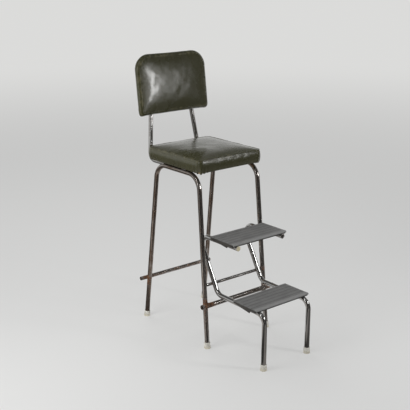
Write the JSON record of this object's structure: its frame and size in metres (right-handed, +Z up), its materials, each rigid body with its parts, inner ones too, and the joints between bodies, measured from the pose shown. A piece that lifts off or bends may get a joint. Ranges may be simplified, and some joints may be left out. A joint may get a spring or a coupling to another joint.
{
  "type": "folding step stool chair",
  "caption": "Bar-height tubular step stool chair with a padded vinyl seat and back, and a ribbed-tread step unit that swings up and folds away under the seat.",
  "frame": {"origin": "on the floor, in the middle of the footprint with the steps down", "axes": "+Z up, -Y towards the steps and the way the sitter faces, +X towards the right of someone who faces the seat from the steps"},
  "size_m": [0.3772, 0.7496, 1.1096],
  "materials": {
    "chrome_tube": "worn polished chrome plate, lightly rusted at the welds",
    "tip_rubber": "off-white matt rubber",
    "plain_steel": "dull zinc-plated steel",
    "plywood": "raw plywood",
    "hardboard": "hardboard covered in dark vinyl",
    "vinyl": "glossy dark olive vinyl over foam",
    "tread_paint": "dark semi-gloss paint",
    "tread_rubber": "grey ribbed rubber",
    "plug_plastic": "cream moulded plastic"
  },
  "bodies": {
    "frame": {"left_side_frame": "chrome_tube", "right_side_frame": "chrome_tube", "front_crossbar": "chrome_tube", "rear_crossbar": "chrome_tube", "front_left_tip": "tip_rubber", "front_right_tip": "tip_rubber", "rear_left_tip": "tip_rubber", "rear_right_tip": "tip_rubber", "front_seat_strap": "plain_steel", "rear_seat_strap": "plain_steel", "seat_board": "plywood", "seat_cushion": "vinyl", "seat_screw_front_left": "plain_steel", "seat_screw_front_right": "plain_steel", "seat_screw_rear_left": "plain_steel", "seat_screw_rear_right": "plain_steel", "left_back_post": "chrome_tube", "right_back_post": "chrome_tube", "back_post_bolt_front_left": "plain_steel", "back_post_bolt_front_right": "plain_steel", "back_post_bolt_rear_left": "plain_steel", "back_post_bolt_rear_right": "plain_steel", "backrest_back_panel": "hardboard", "backrest_board": "plywood", "backrest_cushion": "vinyl", "backrest_screw_lower_left": "plain_steel", "backrest_screw_lower_right": "plain_steel", "backrest_screw_upper_left": "plain_steel", "backrest_screw_upper_right": "plain_steel"},
    "steps": {"left_step_tube": "chrome_tube", "right_step_tube": "chrome_tube", "left_step_tip": "tip_rubber", "right_step_tip": "tip_rubber", "step_pivot_rod": "chrome_tube", "upper_tread_pan": "tread_paint", "upper_tread_mat": "tread_rubber", "lower_tread_pan": "tread_paint", "lower_tread_mat": "tread_rubber", "left_tube_plug": "plug_plastic"}
  },
  "joints": [
    {"name": "steps_fold", "type": "hinge", "parent": "frame", "child": "steps", "pos_m": [0, -0.06042, 0.2545], "axis": [-1, 0, 0], "range_deg": [0, 165]}
  ]
}
